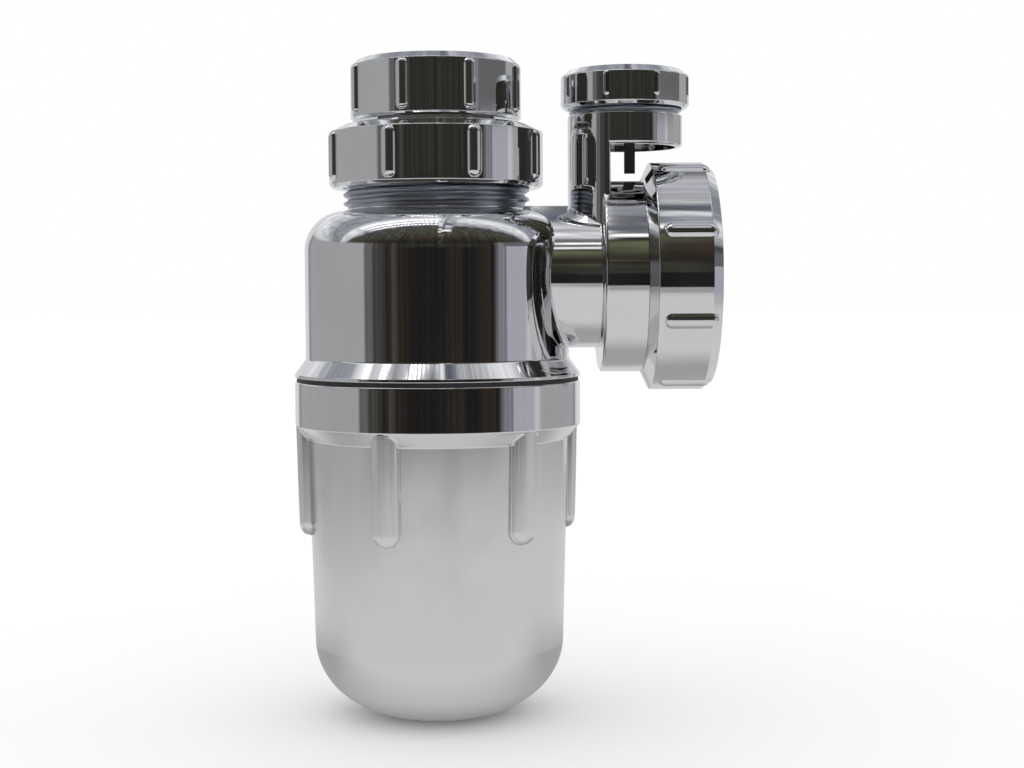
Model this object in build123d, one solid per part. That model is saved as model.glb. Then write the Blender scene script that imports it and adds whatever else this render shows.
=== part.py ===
from build123d import *
import os
from math import atan2, degrees, tan

# Bottle trap for a basin, in chrome-plated plastic, with an air valve over its outlet.
# The origin is the middle of the inlet, at the lower end of its thread, just above the washer that
# the tail of the basin waste is screwed down on.
# +Z is up and +X runs out along the outlet.
# Lengths are millimetres and angles are degrees. A threaded face is drawn as the plain blank that
# its thread stands on: the root of a male thread and the outside of a female one.

# Gaps between pieces
fit_gap = 0.05
running_gap = 0.15
thread_gap = 0.15
loose_gap = 0.6

# Edges
edge_round = 0.4
soft_edge = 1.0

# Cup
cup_height = 98.4
cup_wall = 2.4
cup_corner_width = 27.1
cup_corner_height = 22.4
cup_draft = 1.6
rim_radius = 41.8
ring_step = 3.6
ring_wall = 3.0
ring_taper = 4.0
cup_rib_count = 6
cup_rib_width = 8.0
cup_rib_height = 3.7
cup_rib_length = 31.6
cup_rib_turn = -110.8

# Gasket between cup and body
gasket_thickness = 1.2
gasket_set_back = 0.5

# Body
body_wall = 2.8
barrel_length = 48.1
shoulder_flat = 1.2
flange_width = 3.2
flange_lip = 1.8
flange_taper = 3.5
skirt_length = 13.5
skirt_thread_depth = 1.1

# Neck and its nut
neck_length = 17.9
neck_thread_radius = 27.2
neck_thread_depth = 1.3
neck_wall = 3.1
neck_nut_wall = 3.85
neck_nut_height = 18.3
neck_nut_taper = (4.8, 2.2)
neck_rib_width = 4.1
neck_rib_height = 1.2
neck_rib_turn = -68.7

# Inlet tube and the nut that joins it to the basin waste
tube_radius = 16.5
tube_wall = 1.8
water_seal = 75.0
collar_thickness = 2.5
washer_thickness = 1.7
washer_gap = 0.3
nut_spacing = 1.0
inlet_thread_radius = 21.0
inlet_thread_depth = 1.5
inlet_nut_wall = 3.8
inlet_nut_height = 17.7
inlet_nut_taper = (2.1, 1.8)
inlet_rib_width = 3.4
inlet_rib_height = 1.0
inlet_rib_turn = -66.1

# Outlet, its socket and its nut
outlet_drop = 19.2
spigot_wall = 3.8
spigot_reach = 47.5
pipe_radius = 18.0
pipe_stop = 1.0
socket_room = 5.8
socket_thread_depth = 1.3
socket_length = 25.4
outlet_nut_wall = 5.15
outlet_nut_width = 20.3
outlet_nut_taper = (5.1, 2.4)
outlet_nut_bevel = (2.0, 2.9)
outlet_rib_width = 4.2
outlet_rib_height = 1.1
outlet_rib_turn = 22.5

# What the nuts share
nut_lip = 2.6
nut_rib_count = 8
nut_rib_margin = 1.6
slip_ring_thickness = 1.5

# Tapered seals and the mouths that they sit in
seal_flange = 3.0
mouth_depth = 5.0
mouth_edge = 1.3
pipe_seal_depth = 14.0
pipe_seal_tip = 1.6

# Riser and chamber of the air valve
valve_x = 55.2
chamber_wall = 2.0
chamber_step = 1.0
chamber_rise = 37.6
chamber_height = 9.2
valve_neck_length = 9.6
recess_depth = 3.1
riser_width = 11.4
valve_thread_radius = 16.5
valve_thread_depth = 0.8

# Cap of the air valve
cap_wall = 2.05
cap_height = 11.2
cap_top = 2.3
cap_taper = (2.4, 1.9)
cap_post_radius = 3.0
cap_seal_thickness = 1.2
cap_rib_width = 1.8
cap_rib_height = 0.4
cap_rib_length = 6.8
cap_rib_turn = -110.7

# Seat, disc and stem of the air valve
seat_offset = 1.4
seat_hole_radius = 6.8
seat_flange_width = 1.6
seat_flange_thickness = 1.2
seat_lip_height = 0.6
seat_wall = 1.3
guide_radius = 3.0
guide_arm_count = 3
guide_arm_width = 1.4
disc_overlap = 1.0
disc_thickness = 1.5
stem_width = 3.1
stem_thickness = 1.6
stem_drop = 7.5
stem_head_radius = 4.0
stem_head_thickness = 1.4
valve_lift = 4.0

# Heights along the bottle, from the inlet down
washer_top_z = -washer_gap
washer_z = washer_top_z - washer_thickness
collar_z = washer_z - collar_thickness
inlet_nut_z = collar_z - nut_lip
neck_nut_z = inlet_nut_z - nut_spacing
neck_slip_z = neck_nut_z - nut_lip - slip_ring_thickness
neck_z = neck_slip_z - seal_flange
shoulder_z = neck_z - neck_length
outlet_z = shoulder_z - outlet_drop
flange_z = shoulder_z - barrel_length
barrel_z = flange_z + flange_lip + flange_taper
skirt_z = flange_z - skirt_length
ring_z = skirt_z - edge_round
rim_z = flange_z - gasket_thickness
foot_z = rim_z - cup_height
cup_corner_z = foot_z + cup_corner_height

# Radii of the bottle
cup_top_radius = rim_radius - ring_step
cup_low_radius = cup_top_radius - cup_draft
foot_radius = cup_low_radius - cup_corner_width
skirt_thread_radius = rim_radius - ring_wall
cup_bore = skirt_thread_radius + thread_gap
skirt_root = skirt_thread_radius - skirt_thread_depth
barrel_radius = rim_radius - flange_width
barrel_bore = barrel_radius - body_wall
neck_root = neck_thread_radius - neck_thread_depth
neck_bore = neck_root - neck_wall
neck_mouth = neck_root - mouth_edge
neck_nut_bore = neck_thread_radius + thread_gap
neck_nut_radius = neck_nut_bore + neck_nut_wall
shoulder_bend = barrel_radius - neck_root - shoulder_flat
inlet_nut_radius = inlet_thread_radius + inlet_nut_wall
inlet_nut_root = inlet_thread_radius - inlet_thread_depth
collar_radius = inlet_nut_root - running_gap

# Distances along the outlet from the bottle's axis, and radii of the outlet
spigot_start = neck_bore + neck_wall / 2
stop_x = spigot_reach + body_wall
mouth_x = spigot_reach + socket_length
outlet_slip_x = mouth_x + seal_flange
outlet_nut_end_x = outlet_slip_x + slip_ring_thickness + nut_lip
outlet_nut_x = outlet_nut_end_x - outlet_nut_width
outlet_bore = pipe_radius - pipe_stop
spigot_radius = outlet_bore + spigot_wall
socket_bore = pipe_radius + socket_room
socket_root = socket_bore + body_wall
socket_mouth = socket_root - mouth_edge
socket_thread_radius = socket_root + socket_thread_depth
outlet_nut_bore = socket_thread_radius + thread_gap
outlet_nut_radius = outlet_nut_bore + outlet_nut_wall

# Heights and radii of the air valve
chamber_z = outlet_z + chamber_rise
floor_z = chamber_z + recess_depth
seat_z = floor_z + chamber_wall
chamber_top_z = chamber_z + chamber_height
valve_mouth_z = chamber_top_z + valve_neck_length
valve_root = valve_thread_radius - valve_thread_depth
valve_bore = valve_root - chamber_wall
chamber_radius = valve_root + chamber_step
chamber_bore = chamber_radius - chamber_wall
cap_bore = valve_thread_radius + thread_gap
cap_radius = cap_bore + cap_wall
riser_face_x = valve_x - chamber_radius + riser_width
sleeve_radius = seat_hole_radius - fit_gap
seat_bore = sleeve_radius - seat_wall
disc_z = seat_z + seat_flange_thickness + seat_lip_height
disc_radius = seat_bore + disc_overlap
head_z = disc_z + disc_thickness
cap_ceiling_z = valve_mouth_z + cap_seal_thickness

# Places of what is turned about an axis other than the bottle's
outlet_place = Location((0, 0, outlet_z), (0, 90, 0))
valve_place = Location((valve_x, 0, 0))
seat_place = Location((valve_x + seat_offset, 0, 0))


def turned(*corners):
    """Solid turned about Z from its corners, each (radius, height) or (radius, height, rounding)."""
    points = [corner[:2] for corner in corners]
    rounding = [corner[2] if len(corner) > 2 else 0 for corner in corners]
    outline = FilletPolyline(*points, radius=rounding, close=True)
    return revolve(Plane.XZ * make_face(outline), Axis.Z)


def rod(radius, low, high):
    """Round bar about Z."""
    return turned((0, low), (radius, low), (radius, high), (0, high))


def ring(outer, inner, low, high):
    """Flat ring or plain tube about Z."""
    return turned((inner, low), (outer, low), (outer, high), (inner, high))


def keep_left(solid, x):
    """The part of a solid that lies on the -X side of a plane."""
    return split(solid, Plane((x, 0, 0), z_dir=(1, 0, 0)), keep=Keep.BOTTOM)


def keep_right(solid, x):
    """The part of a solid that lies on the +X side of a plane."""
    return split(solid, Plane((x, 0, 0), z_dir=(1, 0, 0)), keep=Keep.TOP)


def grip_ribs(count, face_radius, width, height, low, high, turn, lean=0):
    """Half-round bars with ball ends that stand out of a round face, spread evenly round it."""
    ball = (width ** 2 / 4 + height ** 2) / (2 * height)
    length = high - low - width
    bar = Cylinder(ball, length)
    bar += [Pos(0, 0, end * length / 2) * Sphere(ball) for end in (-1, 1)]
    bar = Pos(face_radius + height - ball, 0, (low + high) / 2) * Rot(0, lean, 0) * bar
    return [Rot(0, 0, turn + 360 * step / count) * bar for step in range(count)]


def nut(radius, height, bore, hole, open_taper, lip_taper, ribs):
    """Ribbed nut with its threaded end at height 0 and an inward lip at its far end."""
    solid = turned(
        (0, 0), (radius - open_taper[0], 0, edge_round), (radius, open_taper[1], edge_round),
        (radius, height - lip_taper[1], edge_round), (radius - lip_taper[0], height, edge_round),
        (0, height))
    solid += ribs
    solid -= rod(bore, -soft_edge, height - nut_lip)
    return solid - rod(hole, -soft_edge, height + soft_edge)


def cup_wall_solid(inset):
    """Solid inside the cup's side and rounded bottom, moved in from the outside by the inset."""
    corner = EllipticalCenterArc(
        (foot_radius, cup_corner_z), cup_corner_width - inset, cup_corner_height - inset,
        start_angle=270, arc_size=90)
    side = Polyline(
        (cup_low_radius - inset, cup_corner_z), (cup_top_radius - inset, ring_z),
        (0, ring_z), (0, foot_z + inset), (foot_radius, foot_z + inset))
    return revolve(Plane.XZ * make_face([corner, side]), Axis.Z)


def bottle_cup():
    """Cup with a threaded ring at its top and grip ribs below the ring."""
    draft = atan2(cup_top_radius - cup_low_radius, ring_z - cup_corner_z)
    rib_low = ring_z - cup_rib_length
    rib_high = ring_z + cup_rib_width / 2
    rib_face = cup_low_radius + ((rib_low + rib_high) / 2 - cup_corner_z) * tan(draft)
    cup = cup_wall_solid(0) + turned(
        (0, ring_z - ring_taper), (cup_top_radius, ring_z - ring_taper),
        (rim_radius, ring_z, edge_round), (rim_radius, rim_z, edge_round), (0, rim_z))
    cup += grip_ribs(
        cup_rib_count, rib_face, cup_rib_width, cup_rib_height, rib_low, rib_high, cup_rib_turn,
        degrees(draft))
    thread_end_z = skirt_z - soft_edge
    cup -= cup_wall_solid(cup_wall)
    return cup - turned(
        (0, thread_end_z - cup_wall), (cup_top_radius - cup_wall, thread_end_z - cup_wall),
        (cup_bore, thread_end_z), (cup_bore, rim_z + soft_edge), (0, rim_z + soft_edge))


def bottle_seal():
    """Flat gasket between the cup's rim and the body's flange."""
    return ring(rim_radius - gasket_set_back, cup_bore, rim_z, flange_z)


def body_outside():
    """Outside of the skirt, flange, barrel, shoulder and neck, filled."""
    return turned(
        (0, skirt_z), (skirt_root, skirt_z, edge_round), (skirt_root, flange_z),
        (rim_radius, flange_z, edge_round), (rim_radius, flange_z + flange_lip, soft_edge),
        (barrel_radius, barrel_z, soft_edge), (barrel_radius, shoulder_z, shoulder_bend),
        (neck_root, shoulder_z), (neck_root, neck_z, edge_round), (0, neck_z))


def body_inside():
    """Hollow of the skirt, barrel and neck, with the taper that the neck seal sits in."""
    ceiling_z = shoulder_z - body_wall
    return turned(
        (0, skirt_z - soft_edge), (barrel_bore, skirt_z - soft_edge),
        (barrel_bore, ceiling_z, shoulder_bend - body_wall), (neck_bore, ceiling_z),
        (neck_bore, neck_z - mouth_depth), (neck_mouth, neck_z), (neck_mouth, neck_z + soft_edge),
        (0, neck_z + soft_edge))


def outlet_outside():
    """Outside of the spigot and its wider socket, filled."""
    guide_x = outlet_nut_x + 2 * soft_edge
    return outlet_place * turned(
        (0, spigot_start), (spigot_radius, spigot_start), (spigot_radius, spigot_reach),
        (socket_thread_radius, spigot_reach, soft_edge), (socket_thread_radius, guide_x),
        (socket_root, guide_x + socket_thread_depth), (socket_root, mouth_x, edge_round),
        (0, mouth_x))


def outlet_inside():
    """Waterway of the spigot, the socket up to its pipe stop, and the taper for the pipe seal."""
    return outlet_place * turned(
        (0, spigot_start), (outlet_bore, spigot_start), (outlet_bore, stop_x), (socket_bore, stop_x),
        (socket_bore, mouth_x - mouth_depth), (socket_mouth, mouth_x),
        (socket_mouth, mouth_x + soft_edge), (0, mouth_x + soft_edge))


def valve_outside():
    """Outside of the valve chamber, and of the riser that is the near part of the same round."""
    chamber = valve_place * turned(
        (0, chamber_z), (chamber_radius, chamber_z, soft_edge),
        (chamber_radius, chamber_top_z, edge_round), (valve_root, chamber_top_z),
        (valve_root, valve_mouth_z, edge_round), (0, valve_mouth_z))
    riser = valve_place * rod(chamber_radius, outlet_z, chamber_z + 2 * soft_edge)
    return chamber + keep_left(riser, riser_face_x)


def valve_inside():
    """Air way down the riser, the chamber's hollow, the recess under it and the seat's hole."""
    passage = valve_place * rod(chamber_bore, outlet_z, chamber_top_z - chamber_wall)
    recess = valve_place * rod(chamber_bore, chamber_z - soft_edge, floor_z)
    return (
        valve_place * rod(valve_bore, seat_z, valve_mouth_z + soft_edge)
        + keep_left(passage, riser_face_x - chamber_wall)
        + keep_right(recess, riser_face_x)
        + seat_place * rod(seat_hole_radius, chamber_z, seat_z + soft_edge))


# The body is one moulding. It is written as three solids that meet face to face: the bottle, the outlet
# branch from the bottle's outside on, and the valve housing from the branch's outside up.

def trap_body():
    """The moulding's threaded neck, shoulder, barrel, flange and threaded skirt."""
    return body_outside() - body_inside() - outlet_inside()


def outlet_branch():
    """The moulding's side spigot and threaded socket."""
    return outlet_outside() - body_outside() - outlet_inside() - valve_inside()


def valve_housing():
    """The moulding's D-shaped riser and the threaded chamber of the air valve on it."""
    return valve_outside() - outlet_outside() - valve_inside()


def neck_nut():
    """Large nut that grips the inlet tube through the slip ring and the neck seal."""
    ribs = grip_ribs(
        nut_rib_count, neck_nut_radius, neck_rib_width, neck_rib_height,
        nut_rib_margin, neck_nut_height - neck_nut_taper[1], neck_rib_turn)
    solid = nut(
        neck_nut_radius, neck_nut_height, neck_nut_bore, tube_radius + loose_gap,
        (soft_edge, soft_edge), neck_nut_taper, ribs)
    return Pos(0, 0, neck_nut_z - neck_nut_height) * solid


def inlet_nut():
    """Nut that hangs on the tube's collar, with its threaded end up for the basin waste."""
    ribs = grip_ribs(
        nut_rib_count, inlet_nut_radius, inlet_rib_width, inlet_rib_height,
        inlet_nut_taper[1], inlet_nut_height - nut_rib_margin, -inlet_rib_turn)
    solid = nut(
        inlet_nut_radius, inlet_nut_height, inlet_nut_root, tube_radius + loose_gap,
        inlet_nut_taper, (soft_edge, soft_edge), ribs)
    solid -= rod(inlet_thread_radius, -soft_edge, inlet_nut_z + inlet_nut_height)
    return Pos(0, 0, inlet_nut_z + inlet_nut_height) * Rot(180, 0, 0) * solid


def outlet_nut():
    """Large nut that squeezes the pipe seal in the socket."""
    ribs = grip_ribs(
        nut_rib_count, outlet_nut_radius, outlet_rib_width, outlet_rib_height,
        outlet_nut_taper[1] + nut_rib_margin, outlet_nut_width - nut_rib_margin, outlet_rib_turn)
    solid = nut(
        outlet_nut_radius, outlet_nut_width, outlet_nut_bore, pipe_radius + loose_gap,
        outlet_nut_taper, outlet_nut_bevel, ribs)
    return outlet_place * Pos(0, 0, outlet_nut_x) * solid


def neck_slip_ring():
    """Hard ring that lets the neck nut turn without dragging the rubber."""
    return ring(
        neck_root - thread_gap, tube_radius + loose_gap, neck_slip_z, neck_slip_z + slip_ring_thickness)


def outlet_slip_ring():
    """Hard ring that lets the outlet nut turn without dragging the rubber."""
    return outlet_place * ring(
        socket_root - thread_gap, pipe_radius + loose_gap,
        outlet_slip_x, outlet_slip_x + slip_ring_thickness)


def neck_seal():
    """Tapered rubber ring between the neck's mouth and the inlet tube."""
    inner = tube_radius + running_gap
    return turned(
        (inner, neck_z - mouth_depth), (neck_bore - fit_gap, neck_z - mouth_depth),
        (neck_mouth - fit_gap, neck_z), (neck_root - thread_gap, neck_z),
        (neck_root - thread_gap, neck_slip_z), (inner, neck_slip_z))


def outlet_seal():
    """Tapered rubber that takes the outlet pipe, with a long thin tail down the socket."""
    inner = pipe_radius + running_gap
    tail_x = mouth_x - pipe_seal_depth
    return outlet_place * turned(
        (inner, tail_x), (inner + pipe_seal_tip, tail_x), (socket_bore - fit_gap, mouth_x - mouth_depth),
        (socket_mouth - fit_gap, mouth_x), (socket_root - thread_gap, mouth_x),
        (socket_root - thread_gap, outlet_slip_x), (inner, outlet_slip_x))


def dip_tube():
    """Inlet tube that dips into the water, with the collar that the inlet nut pulls on."""
    bore = tube_radius - tube_wall
    end_z = outlet_z - outlet_bore - water_seal
    return turned(
        (bore, end_z), (tube_radius, end_z, edge_round), (tube_radius, collar_z, edge_round),
        (collar_radius, collar_z, edge_round), (collar_radius, washer_z), (bore, washer_z))


def inlet_washer():
    """Flat rubber washer on the tube's collar."""
    return ring(collar_radius, tube_radius - tube_wall, washer_z, washer_top_z)


def valve_cap():
    """Ribbed cap of the valve chamber, with the post that stops the stem's head."""
    top_z = cap_ceiling_z + cap_top
    low_z = top_z - cap_height
    rib_high = top_z - cap_taper[1]
    cap = turned(
        (0, low_z), (cap_radius - soft_edge, low_z, edge_round), (cap_radius, low_z + soft_edge, edge_round),
        (cap_radius, top_z - cap_taper[1], edge_round), (cap_radius - cap_taper[0], top_z, edge_round),
        (0, top_z))
    cap += grip_ribs(
        nut_rib_count, cap_radius, cap_rib_width, cap_rib_height, rib_high - cap_rib_length, rib_high,
        cap_rib_turn)
    cap -= rod(cap_bore, low_z - soft_edge, cap_ceiling_z)
    post_z = head_z + stem_head_thickness + valve_lift + running_gap
    return valve_place * (cap + rod(cap_post_radius, post_z, cap_ceiling_z))


def valve_cap_seal():
    """Flat rubber ring between the cap and the chamber's mouth."""
    return valve_place * ring(valve_root, valve_bore, valve_mouth_z, cap_ceiling_z)


def stem_blade(low, high, gap=0):
    """Flat blade of the stem about the seat's axis, or the slot that it runs in."""
    return Pos(0, 0, (low + high) / 2) * Box(stem_width + 2 * gap, stem_thickness + 2 * gap, high - low)


def valve_seat():
    """Insert with the seat's lip, a sleeve down the hole in the floor and the stem's guide."""
    rim_z = seat_z + seat_flange_thickness
    seat = ring(seat_hole_radius + seat_flange_width, seat_bore, seat_z, rim_z)
    seat += ring(seat_bore + disc_overlap / 2, seat_bore, rim_z, disc_z)
    seat += ring(sleeve_radius, seat_bore, floor_z, seat_z)
    arm_length = seat_bore + seat_wall / 2
    arm = Pos(arm_length / 2, 0, (floor_z + seat_z) / 2) * Box(arm_length, guide_arm_width, seat_z - floor_z)
    seat += [Rot(0, 0, 360 * step / guide_arm_count) * arm for step in range(guide_arm_count)]
    seat += rod(guide_radius, floor_z, seat_z)
    return seat_place * (seat - stem_blade(floor_z - soft_edge, disc_z, running_gap))


def valve_disc():
    """Rubber disc on the stem that closes the seat by its own weight."""
    return seat_place * (rod(disc_radius, disc_z, head_z) - stem_blade(disc_z, head_z, fit_gap))


def valve_stem():
    """Stem with a round head over the disc and a flat blade that hangs out of the chamber."""
    head = rod(stem_head_radius, head_z, head_z + stem_head_thickness)
    return seat_place * (head + stem_blade(chamber_z - stem_drop, head_z))


pieces = (
    trap_body, outlet_branch, valve_housing, bottle_cup, bottle_seal, neck_nut, neck_slip_ring, neck_seal,
    dip_tube, inlet_washer, inlet_nut, outlet_nut, outlet_slip_ring, outlet_seal, valve_cap,
    valve_cap_seal, valve_seat, valve_disc, valve_stem)

os.makedirs("parts", exist_ok=True)
for piece in pieces:
    export_step(piece(), f"parts/{piece.__name__}.step")
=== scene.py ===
import logging
import math
from dataclasses import dataclass, field
from enum import Enum
from typing import Any, Callable, Optional, Sequence

import bpy
import numpy as np
from mathutils import Matrix


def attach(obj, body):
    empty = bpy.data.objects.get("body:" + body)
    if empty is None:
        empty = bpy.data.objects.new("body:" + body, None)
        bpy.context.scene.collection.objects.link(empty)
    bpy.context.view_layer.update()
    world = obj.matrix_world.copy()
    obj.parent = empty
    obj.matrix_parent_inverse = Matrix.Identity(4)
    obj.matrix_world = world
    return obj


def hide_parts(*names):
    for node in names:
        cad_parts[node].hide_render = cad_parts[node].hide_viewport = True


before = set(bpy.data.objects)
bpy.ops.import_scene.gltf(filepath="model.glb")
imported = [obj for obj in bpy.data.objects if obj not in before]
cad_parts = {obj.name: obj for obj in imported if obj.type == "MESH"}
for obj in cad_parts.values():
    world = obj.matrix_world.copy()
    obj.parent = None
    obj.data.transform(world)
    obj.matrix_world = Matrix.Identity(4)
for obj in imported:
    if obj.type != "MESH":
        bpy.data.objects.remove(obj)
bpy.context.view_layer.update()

# Looks of a chrome-plated bottle trap. Sizes are millimetres in the part's frame until a mesh is made:
# the origin is the middle of the inlet, +Z is up and +X runs out along the outlet.

MM = 0.001
NUDGE = 0.004  # millimetres either way, for the slopes of a relief
TURN_NUDGE = 0.0001  # radians either way, for the same
TINY = 1e-9
log = logging.getLogger("bottle trap")


# ---------------------------------------------------------------- outlines


@dataclass(frozen=True)
class Trace:
    """Points along an outline, with the direction of travel at both ends of each strip between them."""

    points: np.ndarray
    start: np.ndarray
    end: np.ndarray
    closed: bool

    def strip_ends(self) -> tuple[np.ndarray, np.ndarray]:
        """Indices of the points at both ends of each strip."""
        first = np.arange(len(self.start))
        return first, (first + 1) % len(self.points)

    def heading(self) -> np.ndarray:
        """Sum of the directions of travel into and out of each point.

        Returns:
            One vector for each point, not of unit length.
        """
        total = np.zeros_like(self.points)
        first, second = self.strip_ends()
        np.add.at(total, first, self.start)
        np.add.at(total, second, self.end)
        return total


@dataclass(frozen=True)
class Fine:
    """Stretch of height in which an outline gets closer points."""

    low: float
    high: float
    step: float


def trace_outline(corners: Sequence[tuple[float, ...]], step: float = 3.0, fine: Sequence[Fine] = (),
                  arc: float = 9.0) -> Trace:
    """Follow straight runs joined by tangent arcs.

    The arc at a corner turned by the angle t starts rounding * tan(t / 2) before the corner, and its points
    are centre + rounding * (direction turned a quarter to the right). The outline runs anticlockwise. It is
    open where its first corner is on the axis, and closed elsewhere.

    Args:
        corners: (across, up) or (across, up, rounding) of each corner.
        step: longest strip on a straight run.
        fine: stretches of height with a shorter step.
        arc: most degrees that a strip on an arc turns.

    Returns:
        The points and the directions of travel.
    """
    spots = np.array([corner[:2] for corner in corners], float)
    rounding = [corner[2] if len(corner) > 2 else 0.0 for corner in corners]
    count = len(spots)
    closed = abs(spots[0, 0]) > TINY
    pieces: list[tuple[np.ndarray, np.ndarray]] = []
    leave = spots.copy()
    reach = spots.copy()
    arcs: list[Optional[tuple[np.ndarray, np.ndarray]]] = [None] * count
    for i in range(count if closed else count - 1):
        if not closed and i == 0:
            continue
        before = spots[i] - spots[i - 1]
        after = spots[(i + 1) % count] - spots[i]
        before, after = before / np.hypot(*before), after / np.hypot(*after)
        turn = math.atan2(before[0] * after[1] - before[1] * after[0], float(before @ after))
        if rounding[i] <= 0 or abs(turn) < 1e-6:
            continue
        side = math.copysign(1.0, turn)
        back = rounding[i] * math.tan(abs(turn) / 2)
        reach[i] = spots[i] - before * back
        leave[i] = spots[i] + after * back
        centre = reach[i] + side * rounding[i] * np.array([-before[1], before[0]])
        strips = max(2, math.ceil(math.degrees(abs(turn)) / arc), math.ceil(rounding[i] * abs(turn) / step))
        way = math.atan2(before[1], before[0]) + turn * np.linspace(0, 1, strips + 1)
        heading = np.stack([np.cos(way), np.sin(way)], -1)
        left = np.stack([-heading[:, 1], heading[:, 0]], -1)
        arcs[i] = (centre - side * rounding[i] * left, heading)
    for i in range(count):
        if arcs[i] is not None:
            pieces.append(arcs[i])
        if not closed and i == count - 1:
            break
        a, b = leave[i], reach[(i + 1) % count]
        length = float(np.hypot(*(b - a)))
        if length < TINY:
            continue
        marks = {0.0, 1.0}
        for part in fine:
            for level in (part.low, part.high):
                if abs(b[1] - a[1]) > TINY and 0 < (level - a[1]) / (b[1] - a[1]) < 1:
                    marks.add((level - a[1]) / (b[1] - a[1]))
        places: list[np.ndarray] = []
        ordered = sorted(marks)
        for low, high in zip(ordered, ordered[1:]):
            middle = a[1] + (b[1] - a[1]) * (low + high) / 2
            local = min([step] + [part.step for part in fine if part.low <= middle <= part.high])
            strips = max(1, math.ceil((high - low) * length / local))
            places.append(np.linspace(low, high, strips + 1)[0 if not places else 1:])
        along = np.concatenate(places)[:, None]
        heading = np.broadcast_to((b - a) / length, (len(along), 2))
        pieces.append((a + (b - a) * along, heading))
    points = [pieces[0][0]]
    start, end = [], []
    for i, (where, heading) in enumerate(pieces):
        if i:
            points.append(where[1:])
        start.append(heading[:-1])
        end.append(heading[1:])
    line = np.concatenate(points)
    return Trace(line[:-1] if closed else line, np.concatenate(start), np.concatenate(end), closed)


def trace_d(centre_x: float, radius: float, cut_x: float, keep: int, rounding: float, marks: int = 9) -> Trace:
    """Outline of a round that a straight line cuts, with the two corners rounded.

    The rounding's centre is radius - rounding from the round's middle and rounding from the line.

    Args:
        centre_x: middle of the round along the outlet.
        radius: of the round.
        cut_x: place of the line, which runs across the outlet.
        keep: -1 for the side towards the bottle, 1 for the other.
        rounding: of the two corners.
        marks: points on each rounded corner and on the line.

    Returns:
        The closed outline in (x, y).
    """
    flat = keep * (cut_x - centre_x) + rounding
    rise = math.sqrt((radius - rounding) ** 2 - flat ** 2)
    tip = math.atan2(rise, flat)
    around = np.linspace(-tip, tip, max(12, math.ceil(math.degrees(2 * tip) / 3)))
    upper, lower = np.linspace(tip, math.pi, marks), np.linspace(math.pi, 2 * math.pi - tip, marks)
    down = np.linspace(rise, -rise, marks)[1:-1]

    def bend(way: np.ndarray, middle: float) -> np.ndarray:
        """Points of one rounded corner, whose centre is at the height middle."""
        return np.stack([flat + rounding * np.cos(way), middle + rounding * np.sin(way)], -1)

    spots = np.concatenate([
        np.stack([radius * np.cos(around), radius * np.sin(around)], -1), bend(upper[1:], rise),
        np.stack([np.full_like(down, flat - rounding), down], -1), bend(lower[:-1], -rise)])
    ways = np.concatenate([around, upper[1:], np.full_like(down, math.pi), lower[:-1]])
    heading = np.stack([-np.sin(ways), np.cos(ways)], -1)
    spots, heading = keep * spots, keep * heading
    return Trace(spots + [centre_x, 0], heading, np.roll(heading, -1, axis=0), True)


# ---------------------------------------------------------------- reliefs on turned faces


def soft_step(value: np.ndarray) -> np.ndarray:
    """Smooth step 3t^2 - 2t^3 of a value held between 0 and 1."""
    held = np.clip(value, 0.0, 1.0)
    return held * held * (3 - 2 * held)


@dataclass(frozen=True)
class GripRibs:
    """Bars that stand on a turned face at equal steps, half-round with ball ends, or boxy with steep sides and ends.

    A bar of radius b with its middle line at the radius c stands at c cos a + sqrt(b^2 - (c sin a)^2 - e^2),
    where a is the angle from the bar and e the distance past the end of its middle line. A boxy bar of power p
    has the height h (1 - d^p)^(1/p) instead, with d its distance from the middle line over half its width. It joins
    the face by the smooth maximum max(p, q) + max(k - |p - q|, 0)^2 / 4k, whose last term ends at the height calm.
    """

    count: int
    face: float
    width: float
    height: float
    low: float
    high: float
    turn: float
    fillet: float = 0.35
    lean: float = 0.0
    boxy: float = 0.0
    calm: float = 1000.0

    @property
    def ball(self) -> float:
        """Radius of the bars."""
        return (self.width ** 2 / 4 + self.height ** 2) / (2 * self.height)

    def reach(self, angle: np.ndarray, z: np.ndarray, r: np.ndarray) -> np.ndarray:
        """Radius of the face with its bars.

        Args:
            angle: round the axis, in radians.
            z: height along the axis.
            r: radius of the plain face.

        Returns:
            The radius at each point.
        """
        spacing = 2 * math.pi / self.count
        away = (angle - math.radians(self.turn) + spacing / 2) % spacing - spacing / 2
        along = z - (self.low + self.high) / 2
        past = np.maximum(np.abs(along) - (self.high - self.low - self.width) / 2, 0.0)
        middle = self.face + self.height - self.ball + math.tan(math.radians(self.lean)) * along
        if self.boxy:
            aside = self.face + math.tan(math.radians(self.lean)) * along
            inside = 1 - (np.hypot(aside * np.sin(away), past) / (self.width / 2)) ** self.boxy
            bar = aside + self.height * np.sign(inside) * np.abs(inside) ** (1 / self.boxy)
        else:
            inside = self.ball ** 2 - (middle * np.sin(away)) ** 2 - past ** 2
            bar = middle * np.cos(away) + np.sign(inside) * np.sqrt(np.abs(inside))
        blend = np.maximum(self.fillet - np.abs(bar - r), 0.0) ** 2 / (4 * self.fillet)
        return np.maximum(bar, r) + blend * soft_step(self.calm - z)


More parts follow.
